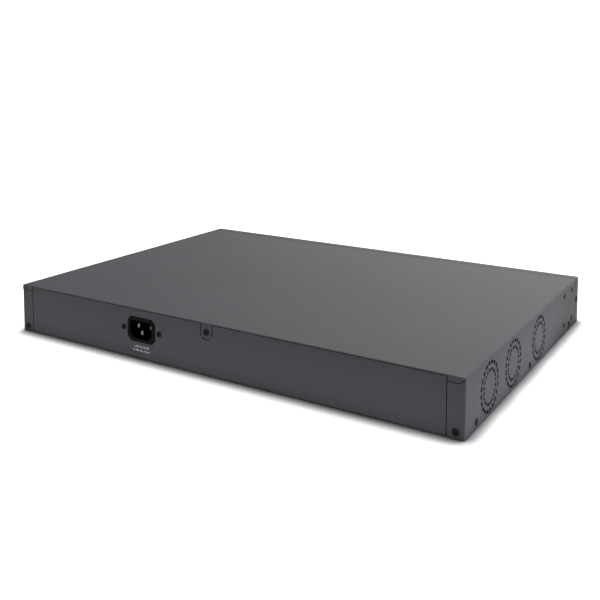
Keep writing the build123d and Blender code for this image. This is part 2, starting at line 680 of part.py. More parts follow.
CORE_CHIP = (30.0, 30.0, 2.4)
CORE_CENTRE = (-14.0, -62.0)
PHY_CHIP = (20.0, 20.0, 1.8)
PHY_CENTRES = ((-110.0, -78.0), (-70.0, -78.0), (34.0, -78.0))

with BuildPart() as core_chip:
    seated_block(CORE_CENTRE, CORE_CHIP)
finish(core_chip, "switch_core_chip")

with BuildPart() as phy_chips:
    for centre in PHY_CENTRES:
        seated_block(centre, PHY_CHIP)
finish(phy_chips, "port_phy_chips")

with BuildPart() as core_heat_sink:
    heat_sink(CORE_CENTRE, (40.0, 40.0, 18.0), 11, BOARD_TOP + CORE_CHIP[2])
finish(core_heat_sink, "core_heat_sink")

with BuildPart() as phy_heat_sinks:
    for centre in PHY_CENTRES:
        heat_sink(centre, (24.0, 24.0, 12.0), 8, BOARD_TOP + PHY_CHIP[2])
finish(phy_heat_sinks, "phy_heat_sinks")

with BuildPart() as port_transformers:
    for x in port_xs:
        seated_block((x, -114.5), (12.4, 15.0, 5.8))
finish(port_transformers, "port_transformers")

with BuildPart() as memory_chips:
    for x in (70.0, 90.0):
        seated_block((x, -60.0), (9.0, 13.0, 1.1))
    seated_block((108.0, -62.0), (7.0, 5.5, 1.6))
finish(memory_chips, "memory_chips")

with BuildPart() as board_capacitors:
    for i in range(6):
        seated_cylinder((-160.0 + 14.0 * i, -22.0), 4.0, 11.5)
        seated_cylinder((60.0 + 14.0 * i, -24.0), 4.0, 11.5)
finish(board_capacitors, "board_capacitors")

with BuildPart() as board_inductors:
    for i in range(4):
        seated_block((-160.0 + 16.0 * i, -42.0), (10.0, 10.0, 5.0))
    for i in range(3):
        seated_block((76.0 + 18.0 * i, -42.0), (10.0, 10.0, 5.0))
finish(board_inductors, "board_inductors")


# ---- Power-over-network board -----------------------------------------------------------------

with BuildPart() as poe_controllers:
    for x in (-130.0, -98.0, -66.0, -34.0):
        seated_block((x, 44.0), (10.0, 10.0, 1.2))
        for i in range(6):
            seated_block((x - 12.5 + 5.0 * i, 62.0), (4.0, 5.0, 1.6))
finish(poe_controllers, "poe_controllers")

with BuildPart() as poe_heat_sink:
    heat_sink((-80.0, 92.0), (96.0, 26.0, 20.0), 17, BOARD_TOP)
finish(poe_heat_sink, "poe_heat_sink")

with BuildPart() as board_links:
    for x in (-125.0, -85.0):
        block((x - 15, x + 15), (-9.0, -3.0), (BOARD_TOP, BOARD_TOP + 8.5))
        block((x - 15, x + 15), (19.0, 25.0), (BOARD_TOP, BOARD_TOP + 8.5))
        block((x - 15, x + 15), (-9.0, 25.0), (BOARD_TOP + 8.5, BOARD_TOP + 10.1))
finish(board_links, "board_links")


# ---- Mains supply -----------------------------------------------------------------------------

OUTLET_PITCH = 5.0
DC_HEADER_X = 64.0
DC_HEADER_Y = 66.0
POE_HEADER_X = 24.0
AC_HEADER = (112.0, 108.0)
TRANSFORMER = (114.0, 62.0)
HEADER_TALL = 9.0

with BuildPart() as mains_transformer:
    seated_block(TRANSFORMER, (36.0, 34.0, 4.0))
    seated_block(TRANSFORMER, (40.0, 11.0, 26.0), BOARD_TOP + 4.0)
    seated_block(TRANSFORMER, (26.0, 11.0, 18.0), BOARD_TOP + 8.0, Mode.SUBTRACT)
    with BuildSketch(Plane.XY.offset(BOARD_TOP + 4.0)):
        with Locations(TRANSFORMER):
            RectangleRounded(26.0, 31.0, 8.0)
    extrude(amount=22.0)
finish(mains_transformer, "mains_transformer")

with BuildPart() as power_heat_sinks:
    for x, base_y in ((138.0, 30.0), (84.0, 30.0)):
        block((x - 1.5, x + 1.5), (base_y, base_y + 62), (BOARD_TOP, BOARD_TOP + 28))
        block((x - 1.5, x + 9.5), (base_y, base_y + 62), (BOARD_TOP + 25, BOARD_TOP + 28))
finish(power_heat_sinks, "power_heat_sinks")

with BuildPart() as power_transistors:
    for i in range(4):
        seated_block((141.75, 38.0 + 15.0 * i), (4.5, 10.0, 16.0), BOARD_TOP + 3.0)
        seated_block((80.25, 38.0 + 15.0 * i), (4.5, 10.0, 16.0), BOARD_TOP + 3.0)
finish(power_transistors, "power_transistors")

with BuildPart() as bulk_capacitors:
    for y in (38.0, 60.0):
        seated_cylinder((160.0, y), 9.0, 29.0)
finish(bulk_capacitors, "bulk_capacitors")

with BuildPart() as output_capacitors:
    for y in (30.0, 39.0, 84.0, 93.0):
        seated_cylinder((70.0, y), 3.6, 20.0)
finish(output_capacitors, "output_capacitors")

with BuildPart() as line_choke:
    with BuildSketch(Plane.XZ.offset(-96.0)):
        with Locations((176.0, BOARD_TOP + 13.0)):
            Circle(12.5)
            Circle(5.5, mode=Mode.SUBTRACT)
    extrude(amount=11.0)
    seated_block((176.0, 90.5), (16.0, 14.0, 1.5))
finish(line_choke, "line_choke")

with BuildPart() as line_fuse:
    with BuildSketch(side_plane(120.0)):
        with Locations((96.0, BOARD_TOP + 4.0)):
            Circle(2.6)
    extrude(amount=20.0)
    for x in (120.0, 135.0):
        with BuildSketch(side_plane(x)):
            with Locations((96.0, BOARD_TOP + 4.0)):
                Circle(3.0)
        extrude(amount=5.0)
        seated_block((x + 2.5, 96.0), (2.0, 4.0, 3.0))
finish(line_fuse, "line_fuse")

with BuildPart() as lead_headers:
    seated_block(AC_HEADER, (18.0, 9.0, HEADER_TALL))
    seated_block((DC_HEADER_X, DC_HEADER_Y), (9.0, 22.0, HEADER_TALL))
    seated_block((POE_HEADER_X, DC_HEADER_Y), (9.0, 22.0, HEADER_TALL))
finish(lead_headers, "lead_headers")

LEAD_D = 2.0
EARTH_LUG = (44.0, 136.0)

with BuildPart() as mains_leads:
    for sign in side_signs:
        spade_x = INLET_X + sign * LIVE_PITCH / 2
        header_x = AC_HEADER[0] + sign * 4.0
        spade_y = INLET_BACK_Y - SPADE_LENGTH
        lead_y = AC_HEADER[1] + sign * 2.0
        lead(
            [
                (spade_x, spade_y, LIVE_Z),
                (spade_x, lead_y, LIVE_Z),
                (header_x, lead_y, LIVE_Z - 1),
                (header_x, lead_y, BOARD_TOP + HEADER_TALL),
            ],
            [3.0, 4.0],
            LEAD_D,
        )
finish(mains_leads, "mains_leads")

with BuildPart() as earth_lead:
    seated_cylinder(EARTH_LUG, 4.0, 0.8, SHEET)
    lead(
        [
            (INLET_X, INLET_BACK_Y - SPADE_LENGTH, EARTH_Z),
            (INLET_X, INLET_BACK_Y - SPADE_LENGTH - 7, EARTH_Z),
            (EARTH_LUG[0], EARTH_LUG[1] - 14, EARTH_Z - 8),
            (EARTH_LUG[0], EARTH_LUG[1], SHEET + 0.9),
        ],
        [5.0, 5.0],
        LEAD_D,
    )
finish(earth_lead, "earth_lead")

with BuildPart() as supply_harness:
    for i in range(4):
        y = DC_HEADER_Y + (i - 1.5) * OUTLET_PITCH
        top_z = BOARD_TOP + HEADER_TALL
        lead(
            [
                (DC_HEADER_X, y, top_z),
                (DC_HEADER_X, y, top_z + 8),
                (POE_HEADER_X, y, top_z + 8),
                (POE_HEADER_X, y, top_z),
            ],
            [5.0, 5.0],
            LEAD_D,
        )
finish(supply_harness, "supply_harness")


# ---- Fans -------------------------------------------------------------------------------------

HUB_R = 10.0
HUB_START = 2.4
HUB_END = 17.6
CUP_T = 1.2
SHAFT_R = 1.0
BEARING_R = 3.0
BEARING_GAP = 0.05
BEARING_END = 14.0
BLADE_COUNT = 7
BLADE_TIP_R = 18.1
BLADE_PITCH = 42.0
MOTOR_BASE_T = 1.5

for number, fan_plane in enumerate(fan_planes, start=1):
    with BuildPart() as fan_frame:
        with BuildSketch(fan_plane):
            RectangleRounded(FAN_SIZE, FAN_SIZE, 3.0)
            Circle(FAN_BORE_R, mode=Mode.SUBTRACT)
            with GridLocations(FAN_SCREW_PITCH, FAN_SCREW_PITCH, 2, 2):
                Circle(1.7, mode=Mode.SUBTRACT)
        extrude(amount=FAN_DEPTH)
        with BuildSketch(fan_plane):
            Circle(HUB_R)
            with PolarLocations((HUB_R + FAN_BORE_R) / 2, 4, start_angle=20):
                Rectangle(FAN_BORE_R - HUB_R + 1.0, 2.2)
        extrude(amount=MOTOR_BASE_T)
        with BuildSketch(fan_plane):
            Circle(BEARING_R)
        extrude(amount=BEARING_END)
        with BuildSketch(fan_plane.offset(MOTOR_BASE_T)):
            Circle(SHAFT_R + BEARING_GAP)
        extrude(amount=BEARING_END - MOTOR_BASE_T, mode=Mode.SUBTRACT)
    finish(fan_frame, f"fan_frame_{number}")

    with BuildPart() as fan_rotor:
        with Locations(fan_plane.offset(HUB_START + 7.4)):
            with PolarLocations((HUB_R + BLADE_TIP_R) / 2, BLADE_COUNT):
                Box(BLADE_TIP_R - HUB_R + 4.0, 1.0, 18.0, rotation=(BLADE_PITCH, 0, 0))
        with BuildSketch(fan_plane.offset(HUB_START + 0.6)):
            Circle(BLADE_TIP_R)
        extrude(amount=HUB_END - HUB_START - 1.6, mode=Mode.INTERSECT)
        with BuildSketch(fan_plane.offset(HUB_START)):
            Circle(HUB_R)
        extrude(amount=HUB_END - HUB_START)
        with BuildSketch(fan_plane.offset(HUB_START)):
            Circle(HUB_R - CUP_T)
        extrude(amount=HUB_END - HUB_START - CUP_T, mode=Mode.SUBTRACT)
        with BuildSketch(fan_plane.offset(MOTOR_BASE_T + 0.3)):
            Circle(SHAFT_R)
        extrude(amount=HUB_END - MOTOR_BASE_T - 0.5)
    finish(fan_rotor, f"fan_rotor_{number}")

COIL_R = 8.2

with BuildPart() as fan_stators:
    for fan_plane in fan_planes:
        with BuildSketch(fan_plane.offset(HUB_START + 1.2)):
            Circle(COIL_R)
            with PolarLocations(COIL_R, 4, start_angle=45):
                RectangleRounded(7.0, 2.0, 0.4, mode=Mode.SUBTRACT)
            Circle(BEARING_R + 0.1, mode=Mode.SUBTRACT)
        extrude(amount=8.0)
finish(fan_stators, "fan_stators")

FAN_LEAD_Z = 12.0
FAN_HEADER_X = -151.0
fan_header_points = [(FAN_HEADER_X, 103.0), (FAN_HEADER_X, 49.0), (-176.0, -20.0)]

with BuildPart() as fan_headers:
    for point in fan_header_points:
        seated_block(point, (5.5, 9.0, 6.0))
finish(fan_headers, "fan_headers")

with BuildPart() as fan_leads:
    for (header_x, header_y), (fan_y, fan_z) in zip(fan_header_points, FAN_CENTRES):
        lead(
            [
                (-WALL_X + FAN_DEPTH, header_y, FAN_LEAD_Z + 3),
                (-WALL_X + FAN_DEPTH + 7, header_y, FAN_LEAD_Z + 3),
                (header_x - 8.0, header_y, FAN_LEAD_Z),
                (header_x - 2.75, header_y, FAN_LEAD_Z),
            ],
            [6.0, 6.0],
            2.6,
        )
finish(fan_leads, "fan_leads")
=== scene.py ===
import json
import math

import bmesh
import bpy
from mathutils import Matrix, Vector


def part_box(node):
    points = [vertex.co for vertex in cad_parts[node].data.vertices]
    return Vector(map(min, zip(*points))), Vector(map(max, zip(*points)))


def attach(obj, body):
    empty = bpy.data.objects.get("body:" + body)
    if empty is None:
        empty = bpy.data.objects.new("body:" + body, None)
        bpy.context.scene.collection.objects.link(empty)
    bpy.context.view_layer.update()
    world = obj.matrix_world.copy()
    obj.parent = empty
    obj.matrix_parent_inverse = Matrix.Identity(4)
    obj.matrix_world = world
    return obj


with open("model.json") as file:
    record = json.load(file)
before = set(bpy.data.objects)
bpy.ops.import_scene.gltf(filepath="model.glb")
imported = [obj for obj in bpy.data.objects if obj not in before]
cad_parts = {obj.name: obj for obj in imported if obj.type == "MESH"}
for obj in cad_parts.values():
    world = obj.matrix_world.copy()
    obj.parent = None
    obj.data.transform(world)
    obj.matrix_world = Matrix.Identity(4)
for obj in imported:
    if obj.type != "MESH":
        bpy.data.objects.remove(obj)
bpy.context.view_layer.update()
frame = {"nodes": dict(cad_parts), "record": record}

ROOT = "chassis"
MM = 0.001

cover_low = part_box("top_cover")[0]
panel_low, panel_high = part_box("front_panel")
base_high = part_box("chassis_base")[1]


# ---- Node graphs ------------------------------------------------------------------------------

class Graph:
    """A material and short calls for the nodes that it is made of."""

    def __init__(self, name):
        self.material = bpy.data.materials.new(name)
        self.material.use_nodes = True
        self.nodes = self.material.node_tree.nodes
        self.links = self.material.node_tree.links
        self.shader = self.nodes["Principled BSDF"]
        self.place = self.nodes.new("ShaderNodeTexCoord").outputs["Object"]

    def node(self, kind, inputs=None, **settings):
        made = self.nodes.new(kind)
        for key, value in settings.items():
            setattr(made, key, value)
        for key, value in (inputs or {}).items():
            if isinstance(value, bpy.types.NodeSocket):
                self.links.new(value, made.inputs[key])
            else:
                made.inputs[key].default_value = value
        return made

    def stretched(self, stretch):
        return self.node("ShaderNodeMapping", {"Vector": self.place, "Scale": stretch}).outputs["Vector"]

    def noise(self, size, detail=3.0, stretch=None):
        """Smooth noise with features of about this size, in metres."""
        vector = self.stretched(stretch) if stretch else self.place
        inputs = {"Vector": vector, "Scale": 1.0 / size, "Detail": detail}
        return self.node("ShaderNodeTexNoise", inputs).outputs["Fac"]

    def cells(self, size, feature="F1", stretch=None):
        """Distance to the nearest of random cells of about this size, in metres."""
        vector = self.stretched(stretch) if stretch else self.place
        inputs = {"Vector": vector, "Scale": 1.0 / size}
        return self.node("ShaderNodeTexVoronoi", inputs, feature=feature).outputs["Distance"]

    def ramp(self, factor, stops):
        """Colours at places along a factor, as (place, colour) pairs."""
        made = self.node("ShaderNodeValToRGB", {"Fac": factor})
        elements = made.color_ramp.elements
        while len(elements) < len(stops):
            elements.new(0.5)
        for element, (place, colour) in zip(elements, stops):
            element.position = place
            element.color = (*colour, 1.0)
        return made.outputs["Color"]

    def span(self, factor, low, high, start=0.0, end=1.0):
        """Carries start..end of a factor to low..high."""
        inputs = {"Value": factor, "From Min": start, "From Max": end, "To Min": low, "To Max": high}
        return self.node("ShaderNodeMapRange", inputs).outputs["Result"]

    def math(self, operation, a, b=0.0):
        return self.node("ShaderNodeMath", {0: a, 1: b}, operation=operation).outputs["Value"]

    def mix(self, factor, a, b):
        made = self.node("ShaderNodeMix", {"Factor": factor}, data_type="RGBA")
        for socket, value in ((made.inputs[6], a), (made.inputs[7], b)):
            if isinstance(value, bpy.types.NodeSocket):
                self.links.new(value, socket)
            else:
                socket.default_value = (*value, 1.0)
        return made.outputs[2]

    def bump(self, height, depth, strength=1.0, under=None):
        """A bump normal: height 0..1 is this deep, in metres."""
        inputs = {"Height": height, "Distance": depth, "Strength": strength}
        if under is not None:
            inputs["Normal"] = under
        return self.node("ShaderNodeBump", inputs).outputs["Normal"]

    def edges(self, radius):
        """0 on flat faces, rising to 1 on edges sharper than this radius, in metres."""
        rounded = self.node("ShaderNodeBevel", {"Radius": radius}, samples=4).outputs["Normal"]
        true = self.node("ShaderNodeNewGeometry").outputs["Normal"]
        facing = self.node("ShaderNodeVectorMath", {0: rounded, 1: true}, operation="DOT_PRODUCT")
        return self.span(facing.outputs["Value"], 1.0, 0.0, 0.80, 0.995)

    def crevices(self, reach, full=0.15, none=0.70):
        """0 in the open, rising to 1 in slots, gaps and corners narrower than this reach, in metres."""
        openness = self.node("ShaderNodeAmbientOcclusion", {"Distance": reach}, samples=6).outputs["AO"]
        return self.span(openness, 1.0, 0.0, full, none)

    def beside(self, y, reach):
        """1 on the plane at this y, falling to 0 at this distance from it, in metres."""
        along = self.node("ShaderNodeSeparateXYZ", {"Vector": self.place}).outputs["Y"]
        off = self.math("ABSOLUTE", self.math("SUBTRACT", along, y))
        return self.span(off, 1.0, 0.0, reach / 2, reach)

    def finish(self, colour=None, roughness=None, normal=None, **constants):
        for key, socket in (("Base Color", colour), ("Roughness", roughness), ("Normal", normal)):
            if socket is not None:
                self.links.new(socket, self.shader.inputs[key])
        for key, value in constants.items():
            self.shader.inputs[key.replace("_", " ")].default_value = value
        return self.material


def shade(colour, factor):
    return tuple(channel * factor for channel in colour)


# ---- Materials --------------------------------------------------------------------------------

def powder_coat(name, colour, grain=0.00045, depth=0.000012):
    """Fine-textured baked paint, lighter on its edges partly as rubbed wear and partly as a painted
    highlight, with painted shade in gaps and slots and a painted shadow line along the seam.
    """
    g = Graph(name)
    broad = g.noise(0.09, 2.0)
    tone = g.ramp(broad, [(0.30, shade(colour, 0.965)), (0.70, shade(colour, 1.035))])
    speck = g.span(g.noise(grain * 0.8, 1.0), 0.0, 0.10, 0.35, 0.75)
    tone = g.mix(speck, tone, shade(colour, 1.7))
    # Lighter edges: partly rubbed wear, partly a painted highlight on the bends.
    tone = g.mix(g.math("MULTIPLY", g.edges(0.0005), 0.35), tone, shade(colour, 1.9))
    # Painted shade: slots, gaps and corners narrower than the reach are darkened, and their roughness
    # raised.
    crevice_shade = g.crevices(0.003)
    shaded = shade(colour, 0.10)
    tone = g.mix(crevice_shade, tone, shaded)
    # Painted shadow: a dark line along the seam between the front panel and the cover.
    tone = g.mix(g.math("MULTIPLY", g.beside(SEAM_Y, SEAM_SHADOW_REACH), 0.85), tone, shaded)
    grains = g.math("ADD", g.noise(grain, 2.0), g.span(g.cells(grain * 1.6), 0.0, 0.6))
    roughness = g.math("ADD", g.span(g.noise(0.004, 3.0), 0.50, 0.60), g.math("MULTIPLY", crevice_shade, 0.35))
    normal = g.bump(grains, depth)
    normal = g.bump(g.noise(0.06, 1.0), 0.00025, 0.6, normal)
    return g.finish(tone, roughness, normal, Specular_IOR_Level=0.07)


def plated(name, colour, roughness, streak=(1.0, 1.0, 1.0), depth=0.000004, recess_shade_reach=0.002):
    """Bright plated or drawn metal with fine streaks and faint staining, darkened with painted shade where
    it is deep-set.
    """
    g = Graph(name)
    streaks = g.noise(0.0006, 3.0, streak)
    stain = g.noise(0.006, 3.0)
    tone = g.ramp(stain, [(0.3, shade(colour, 0.82)), (0.7, colour)])
    # Painted shade: darker where deep-set, such as the pins inside the inlet's cavity.
    tone = g.mix(g.crevices(recess_shade_reach), tone, shade(colour, 0.35))
    tone = g.mix(g.math("MULTIPLY", g.edges(0.00025), 0.5), tone, shade(colour, 1.15))
    wear = g.math("ADD", streaks, g.math("MULTIPLY", stain, 0.5))
    rough = g.span(wear, roughness * 0.75, roughness * 1.3, 0.5, 1.0)
    return g.finish(tone, rough, g.bump(streaks, depth), Metallic=1.0)


def black_oxide(name, colour):
    """Blackened steel, a little rubbed on its sharpest edges, with painted shade in its recesses."""
    g = Graph(name)
    worn = g.math("MULTIPLY", g.edges(0.0002), g.span(g.noise(0.0012, 3.0), 0.0, 0.35, 0.4, 0.7))
    tone = g.ramp(g.noise(0.002, 3.0), [(0.3, shade(colour, 0.75)), (0.7, shade(colour, 1.4))])
    tone = g.mix(worn, tone, shade(colour, 4.0))
    # Painted shade: the cross recess and other hollows are darkened.
    tone = g.mix(g.crevices(0.0015, 0.30, 0.85), tone, shade(colour, 0.08))
    rough = g.span(g.noise(0.0008, 3.0), 0.45, 0.60)
    return g.finish(tone, rough, g.bump(g.noise(0.0005, 3.0), 0.000006), Specular_IOR_Level=0.03)


def moulded(name, colour, grain=0.0005, depth=0.000010, rough=(0.42, 0.56), specular=0.4):
    """Moulded plastic with a fine spark texture and slightly polished edges."""
    g = Graph(name)
    tone = g.ramp(g.noise(0.012, 3.0), [(0.3, shade(colour, 0.9)), (0.7, shade(colour, 1.12))])
    tone = g.mix(g.math("MULTIPLY", g.edges(0.0003), 0.4), tone, shade(colour, 1.9))
    spark = g.math("ADD", g.noise(grain, 3.0), g.cells(grain * 1.3))
    roughness = g.span(g.noise(grain * 5, 2.0), *rough)
    return g.finish(tone, roughness, g.bump(spark, depth), Specular_IOR_Level=specular)


def laminate(name, mask, copper):
    """A circuit board: copper tracks and pads seen through solder mask, with bare via rings."""
    g = Graph(name)
    across = g.cells(0.0042, "DISTANCE_TO_EDGE", (1.0, 0.35, 1.0))
    along = g.cells(0.0042, "DISTANCE_TO_EDGE", (0.35, 1.0, 1.0))
    tracks = g.math("MAXIMUM", g.span(across, 1.0, 0.0, 0.02, 0.05), g.span(along, 1.0, 0.0, 0.02, 0.05))
    rings = g.span(g.cells(0.0036), 1.0, 0.0, 0.10, 0.13)
    weave = g.noise(0.0009, 1.0, (1.0, 3.0, 1.0))
    tone = g.mix(g.math("MULTIPLY", tracks, 0.55), mask, shade(copper, 0.35))
    tone = g.mix(rings, tone, copper)
    tone = g.mix(g.span(weave, 0.0, 0.12), tone, shade(mask, 1.6))
    relief = g.math("ADD", g.math("MULTIPLY", tracks, 0.7), g.math("MULTIPLY", weave, 0.2))
    return g.finish(tone, g.span(weave, 0.24, 0.36), g.bump(relief, 0.00003), Coat_Weight=0.35)


def clear_plastic(name, colour, roughness=0.12):
    """Clear moulded plastic with faint flow lines and a milky core."""
    g = Graph(name)
    flow = g.noise(0.0025, 3.0, (1.0, 0.3, 1.0))
    tone = g.ramp(flow, [(0.3, shade(colour, 0.9)), (0.7, colour)])
    rough = g.span(flow, roughness, roughness * 1.8)
    return g.finish(tone, rough, g.bump(flow, 0.00001), Transmission_Weight=0.55, IOR=1.49)


def lit_lens(name, colour):
    """A small diode body: tinted clear resin over a paler chip."""
    g = Graph(name)
    core = g.cells(0.0012)
    tone = g.ramp(core, [(0.1, shade(colour, 1.2)), (0.6, shade(colour, 0.6))])
    return g.finish(tone, g.span(core, 0.12, 0.25), g.bump(core, 0.00003), Coat_Weight=0.5)


def sleeve(name, colour):
    """Heat-shrunk film on a can: glossy, with fine wrinkles round the rims."""
    g = Graph(name)
    wrinkle = g.noise(0.0012, 3.0, (1.0, 1.0, 0.25))
    tone = g.ramp(g.noise(0.01, 2.0), [(0.3, shade(colour, 0.8)), (0.7, shade(colour, 1.3))])
    return g.finish(tone, g.span(wrinkle, 0.22, 0.38), g.bump(wrinkle, 0.00003), Coat_Weight=0.3)


def anodised(name, colour):
    """Extruded aluminium, with draw lines along Y and a satin anodised skin."""
    g = Graph(name)
    lines = g.noise(0.0006, 3.0, (1.0, 0.04, 1.0))
    tone = g.ramp(g.noise(0.015, 3.0), [(0.3, shade(colour, 0.85)), (0.7, shade(colour, 1.1))])
    tone = g.mix(g.math("MULTIPLY", g.edges(0.0003), 0.5), tone, shade(colour, 1.8))
    return g.finish(tone, g.span(lines, 0.32, 0.48), g.bump(lines, 0.00001), Metallic=0.9)


def sintered(name, colour):
    """Pressed ferrite: dark, dense and slightly pitted."""
    g = Graph(name)
    pits = g.cells(0.0009)
    tone = g.ramp(g.noise(0.004, 4.0), [(0.3, shade(colour, 0.7)), (0.7, shade(colour, 1.4))])
    return g.finish(tone, g.span(g.noise(0.002, 3.0), 0.45, 0.62), g.bump(pits, 0.00003))


def cable_sheath(name, colour):
    """Extruded lead insulation with a soft sheen."""
    g = Graph(name)
    draw = g.noise(0.0015, 3.0)
    tone = g.ramp(g.noise(0.012, 2.0), [(0.3, shade(colour, 0.85)), (0.7, shade(colour, 1.15))])
    return g.finish(tone, g.span(draw, 0.34, 0.46), g.bump(draw, 0.00002))


def enamelled_wire(name, colour):
    """Rows of fine enamelled copper wire, darker in the valleys between turns as painted shade."""
    g = Graph(name)
    inputs = {"Vector": g.place, "Scale": 900.0, "Distortion": 0.4}
    turns = g.node("ShaderNodeTexWave", inputs, bands_direction="X").outputs["Fac"]
    # Painted shade: the valleys between turns are darker.
    tone = g.ramp(turns, [(0.2, shade(colour, 0.45)), (0.7, colour)])
    return g.finish(tone, g.span(g.noise(0.003), 0.25, 0.40), g.bump(turns, 0.00012), Metallic=0.8)


def satin_film(name, colour):
    """Thin insulating film with slight ripples."""
    g = Graph(name)
    ripple = g.noise(0.02, 2.0)
    tone = g.ramp(ripple, [(0.3, shade(colour, 0.85)), (0.7, shade(colour, 1.2))])
    return g.finish(tone, g.span(g.noise(0.001), 0.3, 0.42), g.bump(ripple, 0.0004))


def screen_ink(name, colour):
    """Screen-printed ink, a little uneven at this scale."""
    g = Graph(name)
    patch = g.noise(0.0008, 3.0)
    tone = g.ramp(patch, [(0.25, shade(colour, 0.85)), (0.7, colour)])
    return g.finish(tone, g.span(patch, 0.45, 0.6), g.bump(patch, 0.000004))


SEAM_Y = (panel_high.y + cover_low.y) / 2
# How far the painted shadow line reaches either side of the seam.
SEAM_SHADOW_REACH = 1.1 * MM
PAINT = (0.0380, 0.0374, 0.0418)
BLACK = (0.012, 0.012, 0.013)
GREEN_MASK = (0.012, 0.085, 0.030)
COPPER = (0.62, 0.34, 0.16)

SLOT_MATERIALS = {
    "cover_paint": powder_coat("cover_paint", PAINT),
    "chassis_paint": powder_coat("chassis_paint", PAINT),
    "panel_paint": powder_coat("panel_paint", PAINT),
    "black_screw": black_oxide("black_screw", (0.0105, 0.0105, 0.0115)),
    "inlet_screw": black_oxide("inlet_screw", (0.0055, 0.006, 0.010)),
    "zinc_steel": plated("zinc_steel", (0.62, 0.63, 0.65), 0.30),
    "inlet_plastic": moulded("inlet_plastic", (0.0016, 0.0016, 0.002), rough=(0.36, 0.48), specular=0.035),
    "plated_pin": plated("plated_pin", (0.21, 0.21, 0.205), 0.34, (1.0, 0.1, 1.0), recess_shade_reach=0.030),
    "circuit_board": laminate("circuit_board", GREEN_MASK, COPPER),
    "power_board": laminate("power_board", (0.16, 0.13, 0.045), COPPER),
    "insulator_film": satin_film("insulator_film", (0.03, 0.03, 0.032)),
    "port_plastic": moulded("port_plastic", BLACK),
    "shield_metal": plated("shield_metal", (0.22, 0.218, 0.206), 0.34, (1.0, 1.0, 0.1)),
    "gold_contact": plated("gold_contact", (0.90, 0.66, 0.28), 0.22),
    "led_body": lit_lens("led_body", (0.55, 0.85, 0.35)),
    "light_pipe": clear_plastic("light_pipe", (0.86, 0.90, 0.90)),
    "button_plastic": moulded("button_plastic", (0.022, 0.022, 0.024), rough=(0.32, 0.42)),
    "chip_body": moulded("chip_body", (0.014, 0.014, 0.015), 0.0003),
    "heat_sink": anodised("heat_sink", (0.34, 0.35, 0.37)),
    "capacitor_can": sleeve("capacitor_can", (0.012, 0.014, 0.03)),
    "ferrite": sintered("ferrite", (0.045, 0.045, 0.05)),
    "fuse_body": clear_plastic("fuse_body", (0.90, 0.92, 0.92), 0.05),
    "header_plastic": moulded("header_plastic", (0.72, 0.68, 0.56)),
    "lead_brown": cable_sheath("lead_brown", (0.13, 0.045, 0.02)),
    "lead_green": cable_sheath("lead_green", (0.09, 0.30, 0.05)),
    "lead_red": cable_sheath("lead_red", (0.42, 0.02, 0.015)),
    "lead_black": cable_sheath("lead_black", (0.015, 0.015, 0.016)),
    "fan_plastic": moulded("fan_plastic", (0.005, 0.005, 0.0055), specular=0.15),
    "fan_rotor_plastic": moulded(
        "fan_rotor_plastic", (0.008, 0.008, 0.009), rough=(0.30, 0.42), specular=0.15
    ),
    "copper_coil": enamelled_wire("copper_coil", (0.70, 0.30, 0.12)),
}

for subpart in frame["record"]["subparts"]:
    cad_object = frame["nodes"][subpart["node"]]
    cad_object.data.materials.clear()
    cad_object.data.materials.append(SLOT_MATERIALS[subpart["material_slot"]])


# ---- Pieces made here -------------------------------------------------------------------------

REAR = base_high.y
FRONT = panel_low.y
INK_T = 0.03 * MM
INK_ROOT = -0.01 * MM


def new_piece(name, build, material, body=ROOT, smooth=False):
    """A mesh piece that a function fills in, in the shared frame, riding on a body."""
    shape = bmesh.new()
    build(shape)
    bmesh.ops.recalc_face_normals(shape, faces=shape.faces)
    for face in shape.faces:
        face.smooth = smooth
    mesh = bpy.data.meshes.new(name)
    shape.to_mesh(mesh)
    shape.free()
    mesh.materials.append(material)
    piece = bpy.data.objects.new(name, mesh)
    bpy.context.scene.collection.objects.link(piece)
    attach(piece, body)
    return piece


def on_rear(u, v, h):
    return Vector((u, REAR + h, v))


def on_front(u, v, h):
    return Vector((u, FRONT - h, v))


def upright(u, v, h):
    return Vector((u, v, h))


def add_rings(shape, rings, closed=False):
    """Skin rings of points with quads; open runs get a face at each end."""
    made = [[shape.verts.new(point) for point in ring] for ring in rings]
    count = len(made[0])
    for near, far in zip(made, made[1:] + made[:1] if closed else made[1:]):
        for i in range(count):
            j = (i + 1) % count
            shape.faces.new((near[i], near[j], far[j], far[i]))
    if not closed:
        shape.faces.new(made[0])
        shape.faces.new(made[-1])


def rounded(centre, size, radius, steps=3):
    """Points round a rectangle with rounded corners."""
    x, y = centre
    half_x, half_y = size[0] / 2 - radius, size[1] / 2 - radius
    points = []
    for quarter, (sx, sy) in enumerate(((1, 1), (-1, 1), (-1, -1), (1, -1))):
        for step in range(steps + 1):
            angle = math.radians(90 * (quarter + step / steps))
            points.append((
                x + sx * half_x + radius * math.cos(angle),
                y + sy * half_y + radius * math.sin(angle),
            ))
    return points


def add_prism(shape, outline, low, high, place):
    """A prism of an outline, from low to high off a face."""
    add_rings(shape, [[place(u, v, h) for u, v in outline] for h in (low, high)])


def add_band(shape, outer, inner, low, high, place):
    """A closed band between two outlines that have the same number of points."""
    corners = ((outer, low), (outer, high), (inner, high), (inner, low))
    add_rings(shape, [[place(u, v, h) for u, v in outline] for outline, h in corners], closed=True)


def circle(centre, radius, steps=32):
    turns = [2 * math.pi * i / steps for i in range(steps)]
    return [(centre[0] + radius * math.cos(t), centre[1] + radius * math.sin(t)) for t in turns]


def add_lathe(shape, centre, profile, place, steps=32):
    """A turned shape from (radius, height) pairs, closed at both ends."""
    add_rings(shape, [[place(u, v, h) for u, v in circle(centre, r, steps)] for r, h in profile])


